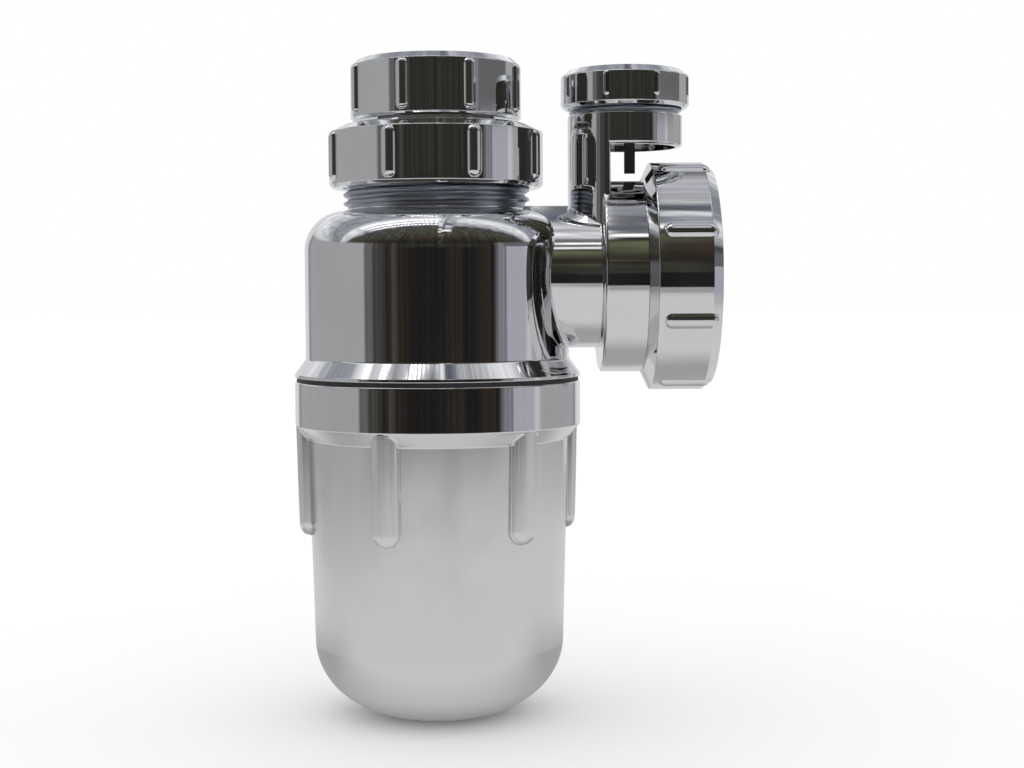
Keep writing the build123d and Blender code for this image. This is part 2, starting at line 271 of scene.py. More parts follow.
@dataclass(frozen=True)
class Thread:
    """Rounded thread that rises from a turned face, or sinks the crests of a hole towards its axis.

    Its height is depth times a smooth step of a triangle wave of z / pitch - angle / 360, faded at both ends. The
    step starts at the share root of the wave and takes the share flanks of it.
    """

    depth: float
    pitch: float
    low: float
    high: float
    fade: float = 0.9
    root: float = 0.18
    flanks: float = 0.64

    def reach(self, angle: np.ndarray, z: np.ndarray, r: np.ndarray) -> np.ndarray:
        """Radius of the face with its thread.

        Args:
            angle: round the axis, in radians.
            z: height along the axis.
            r: radius of the plain face.

        Returns:
            The radius at each point.
        """
        phase = z / self.pitch - angle / (2 * math.pi)
        wave = np.abs(2 * (phase - np.floor(phase)) - 1)
        form = soft_step((wave - self.root) / self.flanks)
        ends = soft_step((z - self.low) / self.fade) * soft_step((self.high - z) / self.fade)
        return r + self.depth * form * ends


# ---------------------------------------------------------------- surfaces


class Axis(Enum):
    """Where a turned surface stands."""

    BOTTLE = "bottle"
    OUTLET = "outlet"
    VALVE = "valve"
    SEAT = "seat"


OUTLET_Z = -52.3  # height of the outlet's axis
VALVE_X = 55.2    # the air valve's axis, along the outlet
SEAT_X = 56.6     # the axis of the hole under the valve's seat


def stand(axis: Axis, local: np.ndarray, is_point: bool) -> np.ndarray:
    """Carry points or directions from an axis's own frame to the part's.

    Args:
        axis: whose frame they are in.
        local: array of triples.
        is_point: whether the axis's place is added.

    Returns:
        Array of triples in the part's frame.
    """
    if axis is Axis.OUTLET:
        moved = np.stack([local[..., 2], local[..., 1], -local[..., 0]], -1)
        return moved + np.array([0, 0, OUTLET_Z]) * is_point
    across = {Axis.VALVE: VALVE_X, Axis.SEAT: SEAT_X}.get(axis, 0.0)
    return local + np.array([across, 0, 0]) * is_point


@dataclass
class Patch:
    """Points, faces as runs of corners, and the exact direction that the surface faces at each corner."""

    points: np.ndarray
    corners: np.ndarray
    sides: np.ndarray
    facing: np.ndarray

    def to_mesh(self, name: str) -> bpy.types.Mesh:
        """Make the mesh in metres, with its facing kept on the corners.

        Args:
            name: of the mesh.

        Returns:
            The mesh.
        """
        mesh = bpy.data.meshes.new(name)
        mesh.vertices.add(len(self.points))
        mesh.vertices.foreach_set("co", (self.points * MM).astype(np.float32).ravel())
        mesh.loops.add(len(self.corners))
        mesh.loops.foreach_set("vertex_index", self.corners.astype(np.int32))
        mesh.polygons.add(len(self.sides))
        starts = np.concatenate([[0], np.cumsum(self.sides)[:-1]])
        mesh.polygons.foreach_set("loop_start", starts.astype(np.int32))
        mesh.update(calc_edges=True)
        way = mesh.attributes.new("facing", "FLOAT_VECTOR", "CORNER")
        way.data.foreach_set("vector", self.facing.astype(np.float32).ravel())
        return mesh


def even_columns(count: int) -> np.ndarray:
    """Evenly spaced angles round an axis."""
    return np.arange(count) * 2 * math.pi / count


def ribbed_columns(plain: int, ribs: GripRibs, per_rib: int) -> np.ndarray:
    """Angles that crowd on each rib.

    The angles are equal steps of the running total of a density, which is high within a rib's width and highest
    about the feet of its flanks, by a bell curve of the distance to them.

    Args:
        plain: number of angles if there were no ribs.
        ribs: the bars on the face.
        per_rib: further angles on each bar.

    Returns:
        Rising angles over one turn.
    """
    samples, margin, bell_width = 14401, 0.8, 0.5
    over_rib, over_foot = 0.45, 2.0
    spread = np.linspace(0, 2 * math.pi, samples)
    spacing = 2 * math.pi / ribs.count
    away = np.abs((spread - math.radians(ribs.turn) + spacing / 2) % spacing - spacing / 2)
    half = (ribs.width / 2 + margin) / ribs.face
    bell = np.exp(-((away * ribs.face - ribs.width / 2) / bell_width) ** 2)
    density = plain / (2 * math.pi) + (away < half) * per_rib / (2 * half) * (over_rib + over_foot * bell)
    total = np.concatenate([[0], np.cumsum((density[1:] + density[:-1]) / 2)])
    count = plain + per_rib * ribs.count
    return np.interp(np.arange(count) * total[-1] / count, total, spread)


Relief = Callable[[np.ndarray, np.ndarray, np.ndarray], np.ndarray]


def chain(reliefs: Sequence[GripRibs | Thread]) -> Relief:
    """Put reliefs on a face one after the other.

    Args:
        reliefs: in the order in which they are put on.

    Returns:
        A function from angle, height and plain radius to the radius with all of them.
    """

    def reach(angle: np.ndarray, z: np.ndarray, r: np.ndarray) -> np.ndarray:
        """Radius after all reliefs."""
        for relief in reliefs:
            r = relief.reach(angle, z, r)
        return r

    return reach


def lathe(trace: Trace, axis: Axis, columns: np.ndarray, outer: Sequence[GripRibs | Thread] = (),
          inner: Sequence[GripRibs | Thread] = ()) -> Patch:
    """Turn an outline about an axis, with reliefs on its outward and inward faces.

    A point at the radius R(angle, z, r) and height z faces along z' e_r - (R_theta / R) z' e_theta - R' e_z,
    where a prime is the change along the outline, and the partial changes of R are central differences.

    Args:
        trace: the outline in (radius, height).
        axis: what it turns about.
        columns: the angles of its columns.
        outer: reliefs on faces that face away from the axis.
        inner: reliefs on faces that face the axis.

    Returns:
        The closed surface.
    """
    radius = np.maximum(trace.points[:, 0], 0.0)[:, None] + 0 * columns[None, :]
    height = trace.points[:, 1][:, None] + 0 * columns[None, :]
    angle = columns[None, :] + 0 * radius
    up = trace.heading()[:, 1]
    reach = radius.copy()
    by_angle, by_height = np.zeros_like(radius), np.zeros_like(radius)
    by_radius = np.ones_like(radius)
    level = 1e-6
    for reliefs, rows in ((outer, up > level), (inner, up < -level)):
        if not reliefs:
            continue
        relief = chain(reliefs)
        a, z, r = angle[rows], height[rows], radius[rows]
        reach[rows] = relief(a, z, r)
        by_angle[rows] = (relief(a + TURN_NUDGE, z, r) - relief(a - TURN_NUDGE, z, r)) / (2 * TURN_NUDGE)
        by_height[rows] = (relief(a, z + NUDGE, r) - relief(a, z - NUDGE, r)) / (2 * NUDGE)
        by_radius[rows] = (relief(a, z, r + NUDGE) - relief(a, z, r - NUDGE)) / (2 * NUDGE)
    points = np.stack([reach * np.cos(angle), reach * np.sin(angle), height], -1)

    def facing(rows: np.ndarray, way: np.ndarray) -> np.ndarray:
        """Direction that the surface faces at each column of some rows.

        Args:
            rows: indices of the outline's points.
            way: direction of travel along the outline at each.

        Returns:
            Unit vectors, as rows by columns by 3.
        """
        across, rise = way[:, :1], way[:, 1:]
        swing = by_angle[rows] / np.maximum(reach[rows], level)
        change = by_radius[rows] * across + by_height[rows] * rise
        cos, sin = np.cos(angle[rows]), np.sin(angle[rows])
        raw = np.stack([rise * (cos + swing * sin), rise * (sin - swing * cos), -change], -1)
        return raw / np.maximum(np.linalg.norm(raw, axis=-1, keepdims=True), TINY)

    first, second = trace.strip_ends()
    at_first, at_second = facing(first, trace.start), facing(second, trace.end)
    across = len(columns)
    row, column = first[:, None], np.arange(across)[None, :]
    following = (column + 1) % across
    corner = np.stack([row * across + column, row * across + following,
                       second[:, None] * across + following, second[:, None] * across + column], -1)
    ways = np.stack([at_first, np.roll(at_first, -1, axis=1), np.roll(at_second, -1, axis=1), at_second], 2)
    on_axis = trace.points[:, 0] < TINY
    plain = ~(on_axis[first] | on_axis[second])
    pole_low, pole_high = on_axis[first] & ~on_axis[second], on_axis[second] & ~on_axis[first]
    corner[pole_low, :, 0] = (first[pole_low] * across)[:, None]
    corner[pole_high, :, 2] = (second[pole_high] * across)[:, None]
    parts = [(plain, [0, 1, 2, 3]), (pole_low, [0, 2, 3]), (pole_high, [0, 1, 2])]
    corners = np.concatenate([corner[rows][:, :, kept].ravel() for rows, kept in parts])
    sides = np.concatenate([np.full(rows.sum() * across, len(kept)) for rows, kept in parts])
    turned = np.concatenate([ways[rows][:, :, kept].reshape(-1, 3) for rows, kept in parts])
    flat = points.reshape(-1, 3)
    used, compact = np.unique(corners, return_inverse=True)
    return Patch(stand(axis, flat[used], True), compact.ravel(), sides, stand(axis, turned, False))


def prism(trace: Trace, low: float, high: float, levels: int) -> Patch:
    """Carry a closed outline in (x, y) straight up and close both ends with fans.

    Args:
        trace: the outline.
        low: height of the lower end.
        high: height of the upper end.
        levels: number of strips in height.

    Returns:
        The closed surface.
    """
    count = len(trace.points)
    heights = np.linspace(low, high, levels + 1)
    points = np.concatenate([np.broadcast_to(trace.points[:, None, :], (count, levels + 1, 2)),
                             np.broadcast_to(heights[None, :, None], (count, levels + 1, 1))], -1).reshape(-1, 3)
    middle = trace.points.mean(axis=0)
    points = np.concatenate([points, [[*middle, low], [*middle, high]]])
    first, second = trace.strip_ends()
    rise = levels + 1
    row, level = first[:, None], np.arange(levels)[None, :]
    quads = np.stack([row * rise + level, second[:, None] * rise + level,
                      second[:, None] * rise + level + 1, row * rise + level + 1], -1).reshape(-1, 4)

    def outward(way: np.ndarray) -> np.ndarray:
        """Direction to the right of the travel."""
        return np.stack([way[:, 1], -way[:, 0], np.zeros(len(way))], -1)

    at_first, at_second = outward(trace.start), outward(trace.end)
    ways = np.stack([at_first, at_second, at_second, at_first], 1)
    ways = np.broadcast_to(ways[:, None], (count, levels, 4, 3)).reshape(-1, 3)
    end = count * rise
    bottom = np.stack([np.full(count, end), second * rise, first * rise], -1)
    top = np.stack([np.full(count, end + 1), first * rise + levels, second * rise + levels], -1)
    down = np.broadcast_to([0.0, 0.0, -1.0], (3 * count, 3))
    corners = np.concatenate([quads.ravel(), bottom.ravel(), top.ravel()])
    sides = np.concatenate([np.full(len(quads), 4), np.full(2 * count, 3)])
    return Patch(points, corners, sides, np.concatenate([ways, down, -down]))


def shade_exactly(mesh: bpy.types.Mesh) -> None:
    """Give each corner the facing that was worked out for it, turned over where a cut turned its face.

    Args:
        mesh: with the facing kept on its corners, which is taken off it.
    """
    corners, faces = len(mesh.loops), len(mesh.polygons)
    facing = np.empty(corners * 3, np.float32)
    mesh.attributes["facing"].data.foreach_get("vector", facing)
    flat = np.empty(faces * 3, np.float32)
    mesh.polygons.foreach_get("normal", flat)
    sides = np.empty(faces, np.int32)
    mesh.polygons.foreach_get("loop_total", sides)
    facing, flat = facing.reshape(-1, 3), np.repeat(flat.reshape(-1, 3), sides, axis=0)
    facing *= np.where(np.einsum("ij,ij->i", facing, flat) < 0, -1.0, 1.0)[:, None]
    facing /= np.maximum(np.linalg.norm(facing, axis=1, keepdims=True), TINY)
    mesh.attributes.remove(mesh.attributes["facing"])
    mesh.polygons.foreach_set("use_smooth", np.ones(faces, bool))
    mesh.normals_split_custom_set(facing.tolist())
    mesh.update()


def join_solids(adds: Sequence[Patch], cuts: Sequence[Patch]) -> bpy.types.Mesh:
    """Fuse closed surfaces, then cut others out of them.

    Args:
        adds: surfaces to fuse.
        cuts: surfaces to take away.

    Returns:
        The mesh, still with the facing kept on its corners.
    """
    scene = bpy.context.scene
    base = bpy.data.objects.new("base", adds[0].to_mesh("base"))
    scene.collection.objects.link(base)
    for patch, operation in [(p, "UNION") for p in adds[1:]] + [(p, "DIFFERENCE") for p in cuts]:
        other = bpy.data.objects.new("other", patch.to_mesh("other"))
        scene.collection.objects.link(other)
        step = base.modifiers.new("step", "BOOLEAN")
        step.operation, step.solver, step.object = operation, "MANIFOLD", other
        graph = bpy.context.evaluated_depsgraph_get()
        mesh = bpy.data.meshes.new_from_object(base.evaluated_get(graph))
        base.modifiers.clear()
        old, base.data = base.data, mesh
        bpy.data.meshes.remove(old)
        bpy.data.objects.remove(other)
    mesh = base.data
    bpy.data.objects.remove(base)
    return mesh


# ---------------------------------------------------------------- shader wiring


Colour = tuple[float, float, float]


class Wire:
    """One output socket, with arithmetic that adds Math nodes."""

    def __init__(self, board: "Board", socket: bpy.types.NodeSocket) -> None:
        """Keep the socket and the tree that it is in."""
        self.board, self.socket = board, socket

    def out(self, name: str) -> "Wire":
        """Another output of the same node."""
        return Wire(self.board, self.socket.node.outputs[name])

    def _math(self, operation: str, *values: Any) -> "Wire":
        """A Math node on values."""
        return self.board.node("ShaderNodeMath", {"operation": operation}, dict(enumerate(values)))

    def __add__(self, other: Any) -> "Wire":
        """Sum."""
        return self._math("ADD", self, other)

    def __sub__(self, other: Any) -> "Wire":
        """Difference."""
        return self._math("SUBTRACT", self, other)

    def __rsub__(self, other: Any) -> "Wire":
        """Difference from a number."""
        return self._math("SUBTRACT", other, self)

    def __mul__(self, other: Any) -> "Wire":
        """Product."""
        return self._math("MULTIPLY", self, other)

    def __truediv__(self, other: Any) -> "Wire":
        """Quotient."""
        return self._math("DIVIDE", self, other)

    def __rtruediv__(self, other: Any) -> "Wire":
        """Quotient of a number by this."""
        return self._math("DIVIDE", other, self)

    __radd__, __rmul__ = __add__, __mul__

    def apply(self, operation: str, *values: Any) -> "Wire":
        """Any other Math operation on this value."""
        return self._math(operation, self, *values)


class Board:
    """A node tree that is being wired."""

    def __init__(self, tree: bpy.types.NodeTree) -> None:
        """Start with an empty tree."""
        self.tree = tree
        tree.nodes.clear()

    def node(self, kind: str, settings: Optional[dict[str, Any]] = None,
             inputs: Optional[dict[Any, Any]] = None) -> Wire:
        """Add a node.

        Args:
            kind: its type.
            settings: its properties, set first. A list of stops is a ramp's, each (place, colour).
            inputs: a value or a Wire for sockets by name or number.

        Returns:
            Its first output.
        """
        node = self.tree.nodes.new(kind)
        for name, value in (settings or {}).items():
            if name == "stops":
                elements = node.color_ramp.elements
                while len(elements) < len(value):
                    elements.new(0.5)
                for element, (place, colour) in zip(elements, value):
                    element.position, element.color = place, (*colour, 1.0)
            else:
                setattr(node, name, value)
        for name, value in (inputs or {}).items():
            if isinstance(value, Wire):
                self.tree.links.new(value.socket, node.inputs[name])
            else:
                node.inputs[name].default_value = value
        return Wire(self, node.outputs[0] if len(node.outputs) else None)

    def split(self, place: Wire) -> tuple[Wire, Wire, Wire]:
        """The three parts of a vector."""
        parts = self.node("ShaderNodeSeparateXYZ", {}, {0: place})
        return parts, parts.out("Y"), parts.out("Z")

    def mix(self, factor: Any, low: Any, high: Any) -> Wire:
        """Mix two colours, each a Wire or three numbers.

        Args:
            factor: share of the second, a Wire or a number.
            low: the first colour.
            high: the second colour.

        Returns:
            The colour between them.
        """
        first, second = ((*end, 1.0) if isinstance(end, tuple) else end for end in (low, high))
        wire = self.node("ShaderNodeMix", {"data_type": "RGBA"}, {0: factor, 6: first, 7: second})
        return Wire(self, wire.socket.node.outputs[2])

    def step(self, value: Wire, low: float, high: float) -> Wire:
        """Smooth step from 0 to 1 between two values."""
        return self.node("ShaderNodeMapRange", {"interpolation_type": "SMOOTHSTEP"},
                         {"Value": value, "From Min": low, "From Max": high})

    def between(self, value: Wire, low: float, high: float, soft: float) -> Wire:
        """1 between two values and 0 outside them, with both changes inside the stretch and soft wide."""
        return self.step(value, low, low + soft) * (1.0 - self.step(value, high - soft, high))

    def times(self, colour: Wire, factor: Wire) -> Wire:
        """A colour made brighter or darker by a number."""
        return self.node("ShaderNodeVectorMath", {"operation": "SCALE"}, {0: colour, "Scale": factor})

    def ramp(self, value: Wire, stops: "Stops", span: float) -> Wire:
        """Tone of a value between -span / 2 and span / 2."""
        return self.node("ShaderNodeValToRGB", {"stops": [(place / span + 0.5, tone.value) for place, tone in stops]},
                         {0: value / span + 0.5})

    def noise(self, where: Wire, scale: float, detail: float) -> Wire:
        """Cloudy value about 0.5."""
        return self.node("ShaderNodeTexNoise", {}, {"Vector": where, "Scale": scale, "Detail": detail})

    def noise_over(self, across: Any, along: Any = 0.0, detail: float = 4.0) -> Wire:
        """Cloudy value over two numbers, with clouds about 1 across in each."""
        return self.noise(self.node("ShaderNodeCombineXYZ", {}, {0: across, 1: along}), 1.0, detail)


# Values of a noise at which a clouded look starts and ends.
CLOUD, WIDE_CLOUD = (0.3, 0.7), (0.25, 0.75)


@dataclass(frozen=True)
class Finish:
    """What every finish shares: a clouded tint and roughness, and a fine grain.

    Grain and cloud scales are for a noise on metres. The slot is the record's, where it isn't the finish's name; it is
    not used.
    """

    name: str
    tint: Colour
    dim: Colour
    roughness: float
    roughness_spread: float
    metallic: float
    grain_scale: float
    grain_height: float
    cloud_scale: float
    slot: str = ""
    satin_tint: Colour = (0.0, 0.0, 0.0)
    satin_roughness: float = 0.0

    def satin(self, board: Board, place: Wire) -> Optional[Wire]:
        """Share of satin surface at a place, or None where a finish has no satin."""
        return None

    def make(self) -> bpy.types.Material:
        """Build the material on Object coordinates.

        Returns:
            The material.
        """
        material = bpy.data.materials.new(self.name)
        material.use_nodes = True
        board = Board(material.node_tree)
        place = board.node("ShaderNodeTexCoord").out("Object")
        cloud = board.noise(place, self.cloud_scale, 3.0)
        grain = board.noise(place, self.grain_scale, 2.0)
        colour = board.mix(board.step(cloud, *CLOUD), self.dim, self.tint)
        rough = board.step(cloud, *WIDE_CLOUD) * self.roughness_spread + self.roughness
        satin = self.satin(board, place)
        if satin is not None:
            colour = board.mix(satin, colour, self.satin_tint)
            rough = satin * self.satin_roughness + rough
        bump = board.node("ShaderNodeBump", {}, {"Height": grain, "Distance": self.grain_height, "Strength": 1.0})
        shader = board.node("ShaderNodeBsdfPrincipled", {}, {
            "Base Color": colour, "Metallic": self.metallic, "Roughness": rough, "Normal": bump})
        board.node("ShaderNodeOutputMaterial", {}, {"Surface": shader})
        return material


@dataclass(frozen=True)
class Zone:
    """Stretch along an axis, within a radius of it."""

    low: float
    high: float
    radius: float


@dataclass(frozen=True)
class PlatedThreads(Finish):
    """Chrome plating that turns satin and blue-grey on the threads of the moulding."""

    neck: Zone = Zone(-32.6, -12.0, 28.0)
    socket: Zone = Zone(61.9, 75.0, 28.4)
    valve: Zone = Zone(-5.4, 6.0, 17.0)
    skirt: Zone = Zone(-100.0, -82.0, 40.0)
    edge: float = 0.3

    def satin(self, board: Board, place: Wire) -> Optional[Wire]:
        """Bands of height, each within a radius of its own axis.

        Args:
            board: the tree that is being wired.
            place: Object coordinates.

        Returns:
            1 on the threads and 0 elsewhere.
        """
        x, y, z = board.split(place)

        def band(along: Wire, one: Wire, two: Wire, zone: Zone) -> Wire:
            """1 in a zone and 0 outside it, with soft edges.

            Args:
                along: distance along the zone's axis.
                one: distance from the axis one way.
                two: distance from the axis the other way.
                zone: its limits.

            Returns:
                The share.
            """
            radius = (one * one + two * two).apply("SQRT")
            low, high, side, edge = (size * MM for size in (zone.low, zone.high, zone.radius, self.edge))
            return board.between(along, low, high + edge, edge) * (1.0 - board.step(radius, side, side + edge))

        out = x - VALVE_X * MM
        total = band(z, x, y, self.neck) + band(z, x, y, self.skirt) + band(z, out, y, self.valve)
        return (total + band(x, z - OUTLET_Z * MM, y, self.socket)).apply("MINIMUM", 1.0)


@dataclass(frozen=True)
class PlatedCup(Finish):
    """Chrome plating that is satin below the ring."""

    top: float = -95.3
    fade: float = 1.6
    least: float = 0.6
    spread: float = 0.5

    def satin(self, board: Board, place: Wire) -> Optional[Wire]:
        """Everything below the ring, a little uneven.

        Args:
            board: the tree that is being wired.
            place: Object coordinates.

        Returns:
            0 on the ring, and between least and least + spread below it.
        """
        uneven = board.step(board.noise(place, 70.0, 4.0), 0.2, 0.8) * self.spread + self.least
        down = board.split(place)[2] * -1.0
        return board.step(down, -self.top * MM, (self.fade - self.top) * MM) * uneven


PLATE = dict(tint=(0.80, 0.805, 0.815), dim=(0.77, 0.775, 0.785), roughness=0.03, roughness_spread=0.03, metallic=1.0,
             grain_scale=320.0, grain_height=0.0000012, cloud_scale=45.0)
CHROME = Finish("chrome_plating", **PLATE)
CHROME_BODY = PlatedThreads("chrome_body", **PLATE, slot="chrome_plating", satin_tint=(0.42, 0.45, 0.51),
                            satin_roughness=0.24)
CHROME_CUP = PlatedCup("chrome_cup", **PLATE, slot="chrome_plating", satin_tint=(0.79, 0.79, 0.79),
                       satin_roughness=0.20)
WHITE = Finish("white_plastic", tint=(0.86, 0.86, 0.84), dim=(0.82, 0.82, 0.80), roughness=0.28,
               roughness_spread=0.12, metallic=0.0, grain_scale=900.0, grain_height=0.00002, cloud_scale=60.0)
RUBBER = Finish("black_rubber", tint=(0.018, 0.018, 0.018), dim=(0.010, 0.010, 0.010), roughness=0.5,
                roughness_spread=0.2, metallic=0.0, grain_scale=1500.0, grain_height=0.00003, cloud_scale=90.0)
DARK = Finish("dark_plastic", tint=(0.035, 0.028, 0.022), dim=(0.022, 0.018, 0.015), roughness=0.35,
              roughness_spread=0.15, metallic=0.0, grain_scale=1200.0, grain_height=0.00002, cloud_scale=120.0)


class Shop:
    """Makes each finish once, and puts pieces on the part."""

    def __init__(self) -> None:
        """Start with nothing made."""
        self.made: dict[str, bpy.types.Material] = {}

    def finish(self, finish: Finish) -> bpy.types.Material:
        """The material of a finish.

        Args:
            finish: which.

        Returns:
            The material, which is made once.
        """
        if finish.name not in self.made:
            self.made[finish.name] = finish.make()
        return self.made[finish.name]

    def place(self, name: str, mesh: bpy.types.Mesh, finish: Finish, body: str, *nodes: str) -> bpy.types.Object:
        """Add a finished piece that stands for CAD nodes.

        Args:
            name: of the piece.
            mesh: with the facing kept on its corners.
            finish: its finish, which also knows its material slot.
            body: what it moves with.
            nodes: the CAD nodes that it stands for.

        Returns:
            The object.
        """
        shade_exactly(mesh)
        mesh.materials.clear()
        mesh.materials.append(self.finish(finish))
        piece = bpy.data.objects.new(name, mesh)
        bpy.context.scene.collection.objects.link(piece)
        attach(piece, body)
        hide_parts(*nodes)
        mesh.calc_loop_triangles()
        log.info("%s: %d triangles on %s", name, len(mesh.loop_triangles), body)
        return piece

    def dress(self, finish: Finish, *nodes: str) -> None:
        """Give CAD nodes a finish.

        Args:
            finish: what they get.
            nodes: their names.
        """
        for node in nodes:
            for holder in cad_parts[node].material_slots:
                holder.material = self.finish(finish)
            log.info("%s: dressed in %s", node, finish.name)


# ---------------------------------------------------------------- the trap


CUP_PITCH, NUT_PITCH, WASTE_PITCH, CAP_PITCH = 3.6, 2.7, 2.309, 2.0
BOTTLE_COLUMNS, BRANCH_COLUMNS, CHAMBER_COLUMNS, BORE_COLUMNS, SMALL_BORE_COLUMNS = 288, 216, 192, 144, 96


@dataclass
class Moulding:
    """The chrome-plated body: neck, shoulder, barrel, flange, skirt, spigot, socket, riser and chamber.

    Names that end in _z are heights, those in _x are places along the outlet, and the others are radii, lengths or
    counts.
    """

    skirt_z: float = -94.7
    skirt_root: float = 37.7
    flange_z: float = -81.2
    flange_radius: float = 41.8
    flange_lip: float = 0.9
    barrel_z: float = -75.9
    barrel_radius: float = 38.6
    shoulder_z: float = -33.1
    shoulder_bend: float = 11.5
    neck_root: float = 25.9
    neck_z: float = -15.2
    neck_bore: float = 22.8
    neck_mouth: float = 24.6
    wall: float = 2.8
    spigot_x: float = 24.35
    spigot_radius: float = 20.8
    spigot_bore: float = 17.0
    spigot_end_x: float = 47.5
    socket_radius: float = 27.9
    socket_root: float = 26.6
    socket_bore: float = 23.8
    socket_mouth: float = 25.3
    guide_x: float = 61.7
    guide_end_x: float = 63.0
    stop_x: float = 50.3
    mouth_x: float = 72.9
    mouth_depth: float = 5.0
    chamber_radius: float = 16.7
    chamber_bore: float = 14.7
    chamber_z: float = -14.7
    chamber_top_z: float = -5.5
    floor_z: float = -11.6
    seat_z: float = -9.6
    valve_root: float = 15.7
    valve_bore: float = 13.7
    valve_mouth_z: float = 4.1
    riser_x: float = 49.9
    chamber_wall: float = 2.0
    seat_hole: float = 6.8
    skirt_thread: float = 1.1
    nut_thread: float = 1.3
    cap_thread: float = 0.8
    hole_columns: int = 64

    def bottle(self) -> Patch:
        """Outside of the bottle, filled."""
        trace = trace_outline([
            (0, self.skirt_z), (self.skirt_root, self.skirt_z, 0.4), (self.skirt_root, self.flange_z),
            (self.flange_radius, self.flange_z, 0.25), (self.flange_radius, self.flange_z + self.flange_lip, 0.5),
            (self.barrel_radius, self.barrel_z, 1.0), (self.barrel_radius, self.shoulder_z, self.shoulder_bend),
            (self.neck_root, self.shoulder_z, 0.8), (self.neck_root, self.neck_z, 0.4), (0, self.neck_z)],
            step=6.0, arc=6.0, fine=[Fine(self.skirt_z, self.flange_z, 0.5),
                                     Fine(self.shoulder_z + 0.4, self.neck_z, 0.34)])
        return lathe(trace, Axis.BOTTLE, even_columns(BOTTLE_COLUMNS), outer=[
            Thread(self.skirt_thread, CUP_PITCH, self.skirt_z + 0.5, self.flange_z - 1.0),
            Thread(self.nut_thread, NUT_PITCH, self.shoulder_z + 1.2, self.neck_z - 0.6)])

    def bottle_hollow(self) -> Patch:
        """Hollow of the bottle.

        Returns:
            The closed surface to cut away.
        """
        bore, ceiling = self.barrel_radius - self.wall, self.shoulder_z - self.wall
        trace = trace_outline([
            (0, self.skirt_z - 1), (bore, self.skirt_z - 1), (bore, ceiling, self.shoulder_bend - self.wall),
            (self.neck_bore, ceiling, 0.5), (self.neck_bore, self.neck_z - self.mouth_depth),
            (self.neck_mouth, self.neck_z), (self.neck_mouth, self.neck_z + 1), (0, self.neck_z + 1)], step=12.0)
        return lathe(trace, Axis.BOTTLE, even_columns(BORE_COLUMNS))

    def branch(self) -> Patch:
        """Outside of the spigot and the socket, filled."""
        trace = trace_outline([
            (0, self.spigot_x), (self.spigot_radius, self.spigot_x),
            (self.spigot_radius, self.spigot_end_x, 0.5), (self.socket_radius, self.spigot_end_x, 1.0),
            (self.socket_radius, self.guide_x, 0.4), (self.socket_root, self.guide_end_x),
            (self.socket_root, self.mouth_x, 0.4), (0, self.mouth_x)],
            step=6.0, fine=[Fine(self.guide_end_x, self.mouth_x, 0.5)])
        return lathe(trace, Axis.OUTLET, even_columns(BRANCH_COLUMNS), outer=[
            Thread(self.nut_thread, NUT_PITCH, self.guide_end_x + 0.2, self.mouth_x - 0.6)])

    def branch_hollow(self) -> Patch:
        """Waterway of the spigot and the socket."""
        trace = trace_outline([
            (0, self.spigot_x), (self.spigot_bore, self.spigot_x), (self.spigot_bore, self.stop_x, 0.4),
            (self.socket_bore, self.stop_x, 0.4), (self.socket_bore, self.mouth_x - self.mouth_depth),
            (self.socket_mouth, self.mouth_x), (self.socket_mouth, self.mouth_x + 1), (0, self.mouth_x + 1)],
            step=10.0)
        return lathe(trace, Axis.OUTLET, even_columns(BORE_COLUMNS))

    def chamber(self) -> Patch:
        """Outside of the valve chamber, filled."""
        trace = trace_outline([
            (0, self.chamber_z), (self.chamber_radius, self.chamber_z, 1.0),
            (self.chamber_radius, self.chamber_top_z, 0.5), (self.valve_root, self.chamber_top_z),
            (self.valve_root, self.valve_mouth_z, 0.4), (0, self.valve_mouth_z)],
            step=4.0, fine=[Fine(self.chamber_top_z, self.valve_mouth_z, 0.3)])
        return lathe(trace, Axis.VALVE, even_columns(CHAMBER_COLUMNS), outer=[
            Thread(self.cap_thread, CAP_PITCH, self.chamber_top_z + 0.3, self.valve_mouth_z - 0.6, fade=0.5)])

    def riser(self) -> Patch:
        """Outside of the D-section riser, filled, up into the chamber."""
        return prism(trace_d(VALVE_X, self.chamber_radius, self.riser_x, keep=-1, rounding=0.6),
                     OUTLET_Z, self.chamber_z + 2.0, levels=4)

    def air_ways(self) -> list[Patch]:
        """Passage down the riser, recess under the chamber, chamber's hollow and the seat's hole.

        Returns:
            The closed surfaces to cut away.
        """
        hollow = trace_outline([(0, self.seat_z), (self.valve_bore, self.seat_z, 0.4),
                                (self.valve_bore, self.valve_mouth_z + 1), (0, self.valve_mouth_z + 1)])
        hole = trace_outline([(0, self.chamber_z), (self.seat_hole, self.chamber_z),
                              (self.seat_hole, self.seat_z + 1), (0, self.seat_z + 1)])
        return [
            prism(trace_d(VALVE_X, self.chamber_bore, self.riser_x - self.chamber_wall, keep=-1, rounding=0.4),
                  OUTLET_Z, self.chamber_top_z - self.chamber_wall, levels=2),
            prism(trace_d(VALVE_X, self.chamber_bore, self.riser_x, keep=1, rounding=0.4),
                  self.chamber_z - 1, self.floor_z, levels=2),
            lathe(hollow, Axis.VALVE, even_columns(SMALL_BORE_COLUMNS)),
            lathe(hole, Axis.SEAT, even_columns(self.hole_columns))]

    def build(self, shop: Shop) -> None:
        """Fuse the outsides, cut the hollows and put the moulding on the part."""
        mesh = join_solids([self.bottle(), self.branch(), self.chamber(), self.riser()],
                           [self.bottle_hollow(), self.branch_hollow(), *self.air_ways()])
        shop.place("trap_moulding", mesh, CHROME_BODY, "trap", "trap_body", "outlet_branch", "valve_housing")


